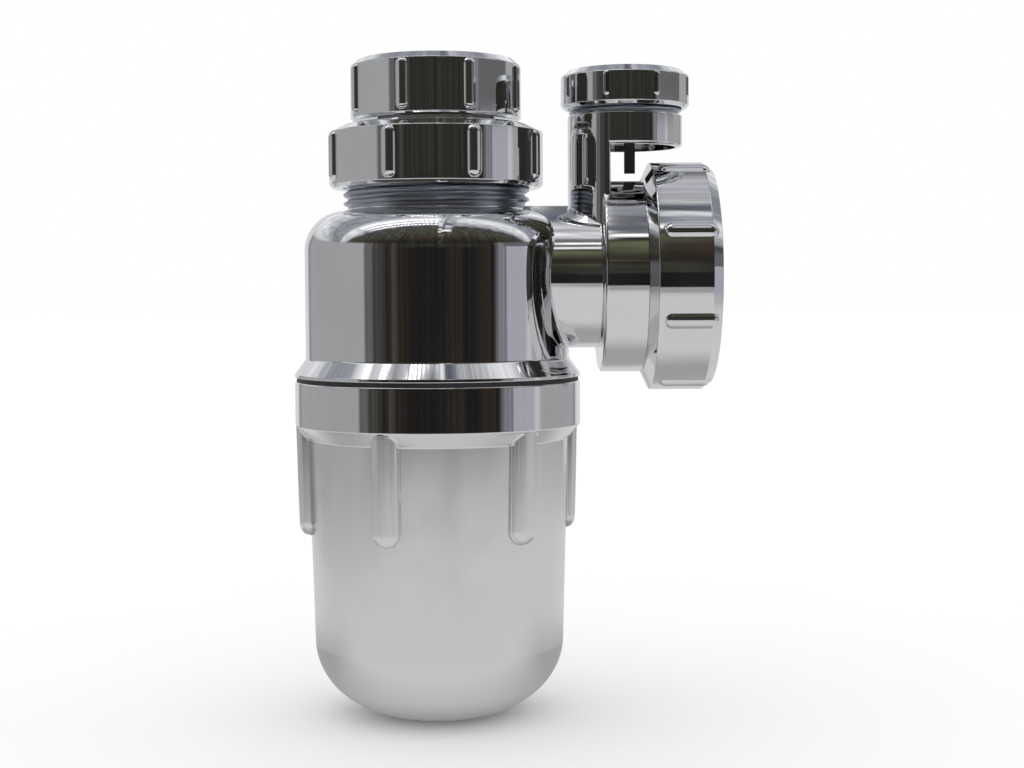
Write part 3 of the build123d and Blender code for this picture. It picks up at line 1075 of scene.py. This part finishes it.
@dataclass
class Cup:
    """Lower cup with its ring and grip ribs. Names that end in _z are heights."""

    rim_z: float = -82.4
    rim_radius: float = 41.8
    ring_z: float = -95.1
    ring_taper: float = 4.0
    top_radius: float = 38.2
    low_radius: float = 36.6
    corner_z: float = -158.4
    corner_width: float = 27.1
    corner_height: float = 22.4
    foot_z: float = -180.8
    wall: float = 2.4
    bore: float = 38.95
    thread_end_z: float = -95.7
    thread: float = 1.1
    columns: int = 200
    rib_columns: int = 22
    ribs: GripRibs = field(default_factory=lambda: GripRibs(
        6, face=37.85, width=8.0, height=3.5, low=-127.2, high=-91.1, turn=-110.8, fillet=0.6, lean=1.448, boxy=2.5,
        calm=-95.4))

    def corner(self, inset: float, upward: bool) -> tuple[np.ndarray, np.ndarray]:
        """Points and travel round the elliptical bottom corner.

        With the angle t from straight down, a point is foot radius + a sin t across and b (1 - cos t) above the
        foot, where a and b are the corner's width and height less the inset.

        Args:
            inset: distance in from the outside.
            upward: whether the travel is from the foot to the side.

        Returns:
            Points and unit directions.
        """
        foot = self.low_radius - self.corner_width
        wide, tall = self.corner_width - inset, self.corner_height - inset
        strips = 24
        turn = np.linspace(0, math.pi / 2, strips + 1)
        points = np.stack([foot + wide * np.sin(turn), self.corner_z - tall * np.cos(turn)], -1)
        way = np.stack([wide * np.cos(turn), tall * np.sin(turn)], -1)
        way /= np.linalg.norm(way, axis=1, keepdims=True)
        return (points, way) if upward else (points[::-1], -way[::-1])

    def outline(self) -> Trace:
        """Outline from the axis under the foot, up the outside, over the rim, and down the inside to the axis.

        Returns:
            The outline, with both ends on the axis.
        """
        feet, tops = self.ribs.low - 1.0, self.ribs.high - 8.6
        upper = trace_outline([
            (self.low_radius, self.corner_z), (self.top_radius, self.ring_z - self.ring_taper, 0.8),
            (self.rim_radius, self.ring_z, 0.6), (self.rim_radius, self.rim_z, 0.5), (self.bore, self.rim_z, 0.3),
            (self.bore, self.thread_end_z), (self.top_radius - self.wall, self.thread_end_z - self.wall, 0.5),
            (self.low_radius - self.wall, self.corner_z)],
            step=4.0, fine=[Fine(feet, feet + 6.5, 0.35), Fine(feet + 6.5, tops, 1.2), Fine(tops, tops + 10.0, 0.35),
                            Fine(self.thread_end_z, self.rim_z, 0.45)])
        closing = int(np.argmin(np.abs(upper.points - [self.low_radius - self.wall, self.corner_z]).sum(axis=1)))
        outside, outside_way = self.corner(0.0, True)
        inside, inside_way = self.corner(self.wall, False)
        points = np.concatenate([[[0.0, self.foot_z]], outside, upper.points[1:closing + 1], inside[1:],
                                 [[0.0, self.foot_z + self.wall]]])
        flat, back = np.array([[1.0, 0.0]]), np.array([[-1.0, 0.0]])
        start = np.concatenate([flat, outside_way[:-1], upper.start[:closing], inside_way[:-1], back])
        end = np.concatenate([flat, outside_way[1:], upper.end[:closing], inside_way[1:], back])
        return Trace(points, start, end, False)

    def build(self, shop: Shop) -> None:
        """Turn the cup and put it on the part.

        Args:
            shop: that finishes and places it.
        """
        columns = ribbed_columns(self.columns, self.ribs, self.rib_columns)
        patch = lathe(self.outline(), Axis.BOTTLE, columns, outer=[self.ribs],
                      inner=[Thread(-self.thread, CUP_PITCH, self.thread_end_z + 0.6, self.rim_z - 0.8)])
        shop.place("cup", patch.to_mesh("cup"), CHROME_CUP, "cup", "bottle_cup")


@dataclass
class RibbedNut:
    """Nut with a threaded end, an inward lip at the other end and grip ribs round it.

    A taper is how far the end's edge is set in and how far along it starts. A collar is the radius and height of a
    shoulder on the lip, and the nut rides on the body that has its name.
    """

    name: str
    axis: Axis
    low: float
    high: float
    radius: float
    bore: float
    hole: float
    open_taper: tuple[float, float]
    lip_taper: tuple[float, float]
    lip_at_top: bool
    ribs: GripRibs
    thread: Thread
    lip: float = 2.6
    collar: Optional[tuple[float, float]] = None
    edge: float = 0.45
    columns: int = 144
    rib_columns: int = 26

    def outline(self) -> Trace:
        """Closed outline, anticlockwise from the hole at the lower end.

        Returns:
            The outline in (radius, height along the nut's axis).
        """
        low_taper, high_taper = ((self.open_taper, self.lip_taper) if self.lip_at_top
                                 else (self.lip_taper, self.open_taper))
        low_hole, high_hole = (self.bore, self.hole) if self.lip_at_top else (self.hole, self.bore)
        step_z = self.high - self.lip if self.lip_at_top else self.low + self.lip
        inner = [(high_hole, self.high, 0.3)]
        if self.collar is None:
            inner += [(high_hole, step_z), (low_hole, step_z)]
        else:
            inner += [(high_hole, self.collar[1]), (self.collar[0], self.collar[1]),
                      (self.collar[0], step_z), (low_hole, step_z)]
        corners = [
            (low_hole, self.low, 0.3), (self.radius - low_taper[0], self.low, self.edge),
            (self.radius, self.low + low_taper[1], self.edge),
            (self.radius, self.high - high_taper[1], self.edge),
            (self.radius - high_taper[0], self.high, self.edge), *inner]
        margin, ball, close = 0.8, self.ribs.width / 2, 0.28
        return trace_outline(corners, step=2.5, arc=12.0, fine=[
            Fine(self.ribs.low - margin, self.ribs.low + ball, close),
            Fine(self.ribs.high - ball, self.ribs.high + margin, close),
            Fine(self.thread.low, self.thread.high, 0.6)])

    def build(self, shop: Shop) -> None:
        """Turn the nut and put it on the part.

        Args:
            shop: that finishes and places it.
        """
        columns = ribbed_columns(self.columns, self.ribs, self.rib_columns)
        patch = lathe(self.outline(), self.axis, columns, outer=[self.ribs], inner=[self.thread])
        shop.place(f"{self.name}_shell", patch.to_mesh(self.name), CHROME, self.name, self.name)


NECK_NUT = RibbedNut(
    "neck_nut", Axis.BOTTLE, low=-26.4, high=-8.1, radius=31.2, bore=27.35, hole=17.1, open_taper=(1.0, 1.0),
    lip_taper=(4.8, 2.2), lip_at_top=True,
    ribs=GripRibs(8, face=31.2, width=4.1, height=1.4, low=-24.8, high=-10.3, turn=-68.7),
    thread=Thread(depth=-1.2, pitch=NUT_PITCH, low=-25.6, high=-11.3))
INLET_NUT = RibbedNut(
    "inlet_nut", Axis.BOTTLE, low=-7.1, high=10.6, radius=24.8, bore=21.0, hole=17.1, open_taper=(2.1, 1.8),
    lip_taper=(1.0, 1.0), lip_at_top=False, collar=(19.5, 0.0),
    ribs=GripRibs(8, face=24.8, width=3.4, height=1.2, low=-5.5, high=8.8, turn=-66.1),
    thread=Thread(depth=-1.4, pitch=WASTE_PITCH, low=0.2, high=9.9))
OUTLET_NUT = RibbedNut(
    "outlet_nut", Axis.OUTLET, low=59.7, high=80.0, radius=33.2, bore=28.05, hole=18.6, open_taper=(5.1, 2.4),
    lip_taper=(2.0, 2.9), lip_at_top=True,
    ribs=GripRibs(8, face=33.2, width=4.2, height=1.1, low=63.7, high=78.4, turn=22.5),
    thread=Thread(depth=-1.2, pitch=NUT_PITCH, low=60.7, high=76.6))


@dataclass
class ValveCap:
    """Small ribbed cap of the air valve, with the post that stops the stem's head."""

    low: float = -3.6
    high: float = 7.6
    radius: float = 18.7
    bore: float = 16.65
    ceiling: float = 5.3
    taper: tuple[float, float] = (2.4, 1.9)
    bevel: float = 1.0
    post: float = 3.0
    post_z: float = -0.75
    thread: float = 0.7
    columns: int = 160
    rib_columns: int = 18
    ribs: GripRibs = field(default_factory=lambda: GripRibs(
        8, face=18.7, width=1.8, height=0.4, low=-1.1, high=5.7, turn=-110.7, fillet=0.14))

    def build(self, shop: Shop) -> None:
        """Turn the cap and put it on the part.

        Args:
            shop: that finishes and places it.
        """
        close = [self.ribs.low - 0.5, self.ribs.low + 1.3, self.ribs.high - 1.3, self.ribs.high + 0.5]
        trace = trace_outline([
            (0, self.post_z), (self.post, self.post_z, 0.3), (self.post, self.ceiling, 0.4),
            (self.bore, self.ceiling, 0.3), (self.bore, self.low, 0.3), (self.radius - self.bevel, self.low, 0.4),
            (self.radius, self.low + self.bevel, 0.4), (self.radius, self.high - self.taper[1], 0.5),
            (self.radius - self.taper[0], self.high, 0.5), (0, self.high)],
            step=3.0, arc=12.0, fine=[
                Fine(close[0], close[1], 0.15), Fine(close[2], close[3], 0.15), Fine(close[1], close[2], 0.5)])
        columns = ribbed_columns(self.columns, self.ribs, self.rib_columns)
        patch = lathe(trace, Axis.VALVE, columns, outer=[self.ribs],
                      inner=[Thread(-self.thread, CAP_PITCH, self.low + 0.6, self.ceiling - 0.3)])
        shop.place("valve_cap_shell", patch.to_mesh("valve_cap"), CHROME, "valve_cap", "valve_cap")


# ---------------------------------------------------------------- the studio


class Tone(Enum):
    """Plain tones of the room round the part, which only shiny faces see."""

    PALE = (0.80, 0.81, 0.82)
    BRIGHT = (0.66, 0.66, 0.68)
    WALL = (0.44, 0.445, 0.45)
    LAVENDER = (0.48, 0.475, 0.54)
    HAZE = (0.28, 0.29, 0.32)
    DIM = (0.16, 0.16, 0.165)
    CURTAIN = (0.070, 0.066, 0.060)
    BROWN = (0.034, 0.026, 0.020)
    DARK = (0.017, 0.016, 0.016)
    MOSS = (0.036, 0.037, 0.032)
    OLIVE = (0.056, 0.058, 0.040)
    LEAF = (0.125, 0.132, 0.075)
    SLATE = (0.13, 0.14, 0.17)
    LAMP = (1.1, 1.1, 1.12)


Stops = tuple[tuple[float, Tone], ...]

# Tones of the room at places in degrees. WALLS goes by the azimuth from the front, SIDES by its amount where it is
# over 90, and the others by the pitch, from the front over the top to the back.
WALLS: Stops = (
    (-90, Tone.WALL), (-64.3, Tone.WALL), (-63.2, Tone.DIM), (-58, Tone.DIM), (-54, Tone.CURTAIN), (-47, Tone.CURTAIN),
    (-42, Tone.DARK), (-36, Tone.CURTAIN), (-31, Tone.BROWN), (-20, Tone.DARK), (7, Tone.DARK), (13, Tone.BROWN),
    (20, Tone.BROWN), (24, Tone.DARK), (34, Tone.DARK), (38, Tone.BROWN), (47, Tone.BROWN), (50.5, Tone.DARK),
    (53, Tone.DIM), (60.5, Tone.HAZE), (62, Tone.DIM), (63.5, Tone.LAVENDER), (82, Tone.LAVENDER), (85, Tone.BRIGHT),
    (90, Tone.BRIGHT))
SIDES: Stops = ((90, Tone.WALL), (138, Tone.WALL), (144, Tone.HAZE), (150, Tone.PALE), (180, Tone.PALE))
OVER_BOTTLE: Stops = (
    (12, Tone.DARK), (26, Tone.BROWN), (42, Tone.OLIVE), (56, Tone.CURTAIN), (64, Tone.CURTAIN), (69, Tone.HAZE),
    (74, Tone.WALL), (79, Tone.BRIGHT), (92, Tone.PALE), (100, Tone.HAZE), (125, Tone.HAZE), (150, Tone.PALE))
OVER_SPIGOT: Stops = (
    (12, Tone.BROWN), (17, Tone.OLIVE), (17.6, Tone.LEAF), (18.6, Tone.OLIVE), (22, Tone.BROWN), (27, Tone.BROWN),
    (31, Tone.OLIVE), (36, Tone.LEAF), (41, Tone.LEAF), (43.5, Tone.BROWN), (45.2, Tone.LAMP), (47.4, Tone.LAMP),
    (48.8, Tone.CURTAIN), (51.6, Tone.CURTAIN), (53, Tone.LAMP), (55, Tone.LAMP), (56.4, Tone.DIM), (61, Tone.DIM),
    (65, Tone.BRIGHT), (72, Tone.PALE), (78, Tone.WALL), (86, Tone.BRIGHT), (95, Tone.WALL), (103, Tone.SLATE),
    (130, Tone.SLATE), (150, Tone.DIM))
OVER_SOCKET: Stops = (
    (12, Tone.DARK), (17.4, Tone.BROWN), (18, Tone.LEAF), (18.8, Tone.BROWN), (27, Tone.OLIVE), (36, Tone.LEAF),
    (41, Tone.LEAF), (44, Tone.DARK), (47, Tone.DARK), (48.3, Tone.LAMP), (50.5, Tone.LAMP), (52, Tone.DIM),
    (60, Tone.SLATE), (76, Tone.DIM), (86, Tone.HAZE), (102, Tone.HAZE), (118, Tone.DIM), (135, Tone.DARK))
OVER_NUT: Stops = (
    (12, Tone.DARK), (20, Tone.BROWN), (30, Tone.BROWN), (38, Tone.OLIVE), (45, Tone.OLIVE), (48, Tone.CURTAIN),
    (49.5, Tone.LAMP), (51.5, Tone.LAMP), (54, Tone.HAZE), (61, Tone.HAZE), (63, Tone.PALE), (65, Tone.PALE),
    (67, Tone.SLATE), (73, Tone.SLATE), (80, Tone.WALL), (96, Tone.LAVENDER), (112, Tone.WALL), (128, Tone.DIM),
    (150, Tone.BRIGHT))


@dataclass(frozen=True)
class Overhead:
    """What the room shows overhead from a place along the outlet, as the x of a unit direction."""

    edge: float
    soft: float
    stops: Stops


@dataclass(frozen=True)
class Hanging:
    """Stretch of wall, in degrees, with a tone of its own above its foot, torn by the clutter where it says so."""

    tone: Tone
    left: float
    right: float
    soft: float
    foot: tuple[float, float] = (2.8, 4.2)
    torn: Optional[tuple[float, float]] = None


OVERHEADS = (Overhead(0.034, 0.012, OVER_SPIGOT), Overhead(0.076, 0.002, OVER_SOCKET),
             Overhead(0.104, 0.002, OVER_NUT))
OVERHEAD_END = (0.15, 0.21)
HANGINGS = (Hanging(Tone.MOSS, -36.0, 48.0, 6.0, torn=(0.2, 0.6)),
            Hanging(Tone.OLIVE, 1.5, 8.5, 2.0, torn=(0.3, 0.6)),
            Hanging(Tone.DIM, 58.0, 112.0, 4.0, foot=(5.2, 6.4)))
LAMP_ROWS = ((69.5, 72.0, 0.8), (76.5, 80.0, 1.0), (85.0, 90.0, 1.5))
DEGREES = 180 / math.pi
HALF_TURN, FULL_TURN = 180.0, 360.0


class Room:
    """The room that shiny faces see, worked out from the direction that they look in.

    The front is the side of -Y. A direction's azimuth is its angle from there about the bottle's axis, its height
    the angle above level, and its pitch the angle from the front, over the top, about the outlet's axis.
    """

    def __init__(self, board: Board) -> None:
        """Work out where a direction points, and the clutter and blots there.

        Args:
            board: the world's tree.
        """
        self.board = board
        self.x, y, self.z = board.split(board.node("ShaderNodeTexCoord").out("Generated"))
        self.azimuth = self.x.apply("ARCTAN2", y * -1.0) * DEGREES
        self.height = self.z.apply("ARCSINE") * DEGREES
        self.pitch = self.z.apply("ARCTAN2", y * -1.0) * DEGREES
        self.clutter = board.noise_over(self.azimuth / 5.0, self.height / 25.0)
        self.blots = board.noise_over(self.x * 14.0, self.pitch / 9.0)

    def walls(self) -> Wire:
        """Tones round the part, with what hangs on the walls.

        Returns:
            The colour.
        """
        board, aside = self.board, self.azimuth.apply("ABSOLUTE")
        ragged = self.azimuth + (self.clutter - 0.5) * 3.5
        walls = board.mix(board.step(aside, 87.0, 93.0), board.ramp(ragged, WALLS, HALF_TURN),
                          board.ramp(aside, SIDES, FULL_TURN))
        for hanging in HANGINGS:
            share = (board.step(self.height, *hanging.foot)
                     * board.between(self.azimuth, hanging.left, hanging.right, hanging.soft))
            if hanging.torn is not None:
                share = share * board.step(self.clutter, *hanging.torn)
            walls = board.mix(share, walls, hanging.tone.value)
        return walls

    def overhead(self) -> Wire:
        """Tones over the part, which change along the outlet.

        Returns:
            The colour.
        """
        board, shift = self.board, self.blots - 0.5
        bent = self.pitch + shift * 9.0 * board.step(self.pitch, 56.0, 66.0) + shift * 1.2
        above = board.ramp(bent, OVER_BOTTLE, FULL_TURN)
        for part in OVERHEADS:
            near = (board.step(self.x, part.edge - part.soft, part.edge + part.soft)
                    * (1.0 - board.step(self.x, *OVERHEAD_END)))
            above = board.mix(near, above, board.ramp(bent, part.stops, FULL_TURN))
        return above

    def colour(self) -> Wire:
        """Walls and overhead, with upright streaks on the front walls and blots overhead.

        Returns:
            The colour.
        """
        board = self.board
        room = board.mix(board.step(self.height, 12.0, 17.0), self.walls(), self.overhead())
        streak = board.step(board.noise_over(self.azimuth * 0.4, self.height * 0.015), *WIDE_CLOUD)
        ahead = board.between(self.azimuth, -66.0, 62.0, 3.0)
        room = board.times(room, (streak - 0.5) * (ahead * 0.7 + 0.08) + 1.0)
        return board.times(room, board.step(self.blots, *CLOUD) * board.step(self.height, 14.0, 30.0) * 0.5 + 0.9)

    def lamps(self) -> Wire:
        """Rows of ceiling lamps, at even steps on a flat ceiling.

        Returns:
            Their strength.
        """
        board, spacing, strength = self.board, 22.0, 2.4
        dots = ((self.x / self.z * spacing).apply("FRACT") - 0.5).apply("ABSOLUTE")
        rows = sum(board.between(self.pitch, *row) for row in LAMP_ROWS)
        return (rows * board.step(dots, 0.12, 0.22) * (1.0 - board.step(self.x, 0.02, 0.04))
                * board.step(self.x, -0.75, -0.6) * strength)


def painted_table_shade(board: Board, place: Wire) -> Wire:
    """Painted shade on the table, which only shiny faces see: the part's painted shadow beside and behind it, painted
    contact shade right at it, painted falloff of light far out, and darker in a clouded stretch to the left and in a
    wedge.

    Args:
        board: the table's tree.
        place: Object coordinates, in metres.

    Returns:
        A factor for the table's tint.
    """
    x, back, _ = board.split(place)
    front = back * -1.0
    away = (x * x + front * front).apply("SQRT")
    # painted shadow of the part, cast beside and behind it
    side = board.step(front, -0.01, 0.055) * 0.40 + 0.60
    side = 1.0 - (1.0 - side) * (1.0 - board.step(away, 0.09, 0.17))
    # painted contact shade right at the part
    near = board.step(away, 0.008, 0.034) * 0.6 + 0.4
    # painted falloff of light far out
    far = 1.0 - board.step(away, 0.34, 0.54) * 0.26
    left = board.step(x * -1.0, 0.16, 0.34) * board.step(board.noise_over(front / away * 9.0, detail=3.0), 0.25, 0.6)
    lean = (x - 0.055) / front
    wedge = board.step(front, 0.41, 0.47) * board.step(lean, -0.02, 0.05) * (1.0 - board.step(lean, 0.17, 0.28))
    return side * near * far * (1.0 - left * 0.3) * (1.0 - wedge * 0.25)


@dataclass
class Studio:
    """Pale floor, soft surroundings and the camera. Its sizes are metres and degrees."""

    camera_at: tuple[float, float, float] = (0.0125, -0.500, -0.0562)
    lens: float = 59.69
    sensor: float = 36.0
    pitch: float = 3.158
    yaw: float = 1.067
    roll: float = 0.297
    floor_z: float = -0.1808
    floor_radius: float = 9.0
    floor_tone: float = 0.955
    table_radius: float = 0.68
    table_tone: float = 0.665
    cloud_depth: float = 0.01
    even_light: float = 1.08
    rings: int = 8
    columns: int = 96

    def sky(self) -> None:
        """Surroundings: plain white to the camera, even to matt faces, a room with ceiling lamps to shiny ones."""
        world = bpy.data.worlds.new("studio")
        bpy.context.scene.world = world
        world.use_nodes = True
        board = Board(world.node_tree)
        room = Room(board)

        def light(colour: Any, strength: Any) -> Wire:
            """Light of a colour and strength."""
            return board.node("ShaderNodeBackground", {}, {"Color": colour, "Strength": strength})

        white = (1.0, 1.0, 1.0, 1.0)
        shiny = board.node("ShaderNodeAddShader", {}, {0: light(room.colour(), 1.0), 1: light(white, room.lamps())})
        path = board.node("ShaderNodeLightPath")
        seen = board.node("ShaderNodeMixShader", {}, {
            0: path.out("Is Glossy Ray"), 1: light(white, self.even_light), 2: shiny})
        seen = board.node("ShaderNodeMixShader", {}, {0: path.out("Is Camera Ray"), 1: seen, 2: light(white, 1.0)})
        board.node("ShaderNodeOutputWorld", {}, {"Surface": seen})

    def disc(self, name: str, radius: float) -> bpy.types.Mesh:
        """A flat disc: rings of points at even steps, with a fan in the middle.

        Args:
            name: of the mesh.
            radius: in metres.

        Returns:
            The mesh.
        """
        angle, column = even_columns(self.columns), np.arange(self.columns)
        rings = np.linspace(0, radius, self.rings + 1)[1:]
        points = np.stack([np.outer(rings, np.cos(angle)), np.outer(rings, np.sin(angle)),
                           np.full((self.rings, self.columns), self.floor_z)], -1).reshape(-1, 3)
        points = np.concatenate([points, [[0, 0, self.floor_z]]])
        following = (column + 1) % self.columns
        row = np.arange(self.rings - 1)[:, None] * self.columns
        quads = np.stack([row + column, row + self.columns + column, row + self.columns + following,
                          row + following], -1).reshape(-1, 4)
        fans = np.stack([np.full(self.columns, len(points) - 1), column, following], -1)
        mesh = bpy.data.meshes.new(name)
        mesh.from_pydata(points.tolist(), [], quads.tolist() + fans.tolist())
        return mesh

    def ground(self, name: str, radius: float, tone: float, shiny: bool) -> None:
        """A round floor, seen only in the chrome, or else by all but the chrome.

        Args:
            name: of the piece.
            radius: in metres.
            tone: its grey.
            shiny: whether shiny faces alone see it.
        """
        material = bpy.data.materials.new(name)
        material.use_nodes = True
        board = Board(material.node_tree)
        place = board.node("ShaderNodeTexCoord").out("Object")
        cloud = board.step(board.noise(place, 9.0, 3.0), *CLOUD)
        colour = board.mix(cloud, (tone * (1 - self.cloud_depth),) * 3, (tone,) * 3)
        # the table seen in the chrome gets painted shadow and shade on its tint
        if shiny:
            colour = board.times(colour, painted_table_shade(board, place))
        shader = board.node("ShaderNodeBsdfPrincipled", {}, {
            "Base Color": colour, "Roughness": 0.6, "Specular IOR Level": 0.0})
        board.node("ShaderNodeOutputMaterial", {}, {"Surface": shader})
        mesh = self.disc(name, radius)
        mesh.materials.append(material)
        floor = bpy.data.objects.new(name, mesh)
        bpy.context.scene.collection.objects.link(floor)
        floor.visible_camera = floor.visible_diffuse = floor.visible_shadow = not shiny
        floor.visible_glossy = shiny

    def camera(self) -> None:
        """Camera at the photograph's viewing angle."""
        lens = bpy.data.cameras.new("camera")
        lens.lens, lens.sensor_width, lens.clip_start, lens.clip_end = self.lens, self.sensor, 0.01, 20.0
        camera = bpy.data.objects.new("camera", lens)
        camera.location = self.camera_at
        turns = [Matrix.Rotation(math.radians(angle), 3, axis)
                 for angle, axis in ((-self.yaw, "Z"), (90 - self.pitch, "X"), (-self.roll, "Z"))]
        camera.rotation_euler = (turns[0] @ turns[1] @ turns[2]).to_euler()
        bpy.context.scene.collection.objects.link(camera)
        bpy.context.scene.camera = camera

    def build(self) -> None:
        """Set the whole stage."""
        self.sky()
        self.ground("floor", self.floor_radius, self.floor_tone, shiny=False)
        self.ground("table", self.table_radius, self.table_tone, shiny=True)
        self.camera()
        bpy.context.scene.view_settings.view_transform = "Standard"


def main() -> None:
    """Build everything in order."""
    logging.basicConfig(level=logging.INFO, format="%(name)s: %(message)s")
    shop = Shop()
    Moulding().build(shop)
    Cup().build(shop)
    for nut in (NECK_NUT, INLET_NUT, OUTLET_NUT):
        nut.build(shop)
    ValveCap().build(shop)
    shop.dress(WHITE, "dip_tube", "neck_slip_ring", "outlet_slip_ring", "valve_seat")
    shop.dress(RUBBER, "bottle_seal", "inlet_washer", "neck_seal", "outlet_seal", "valve_cap_seal", "valve_disc")
    shop.dress(DARK, "valve_stem")
    Studio().build()


if __name__ == "__main__":
    main()
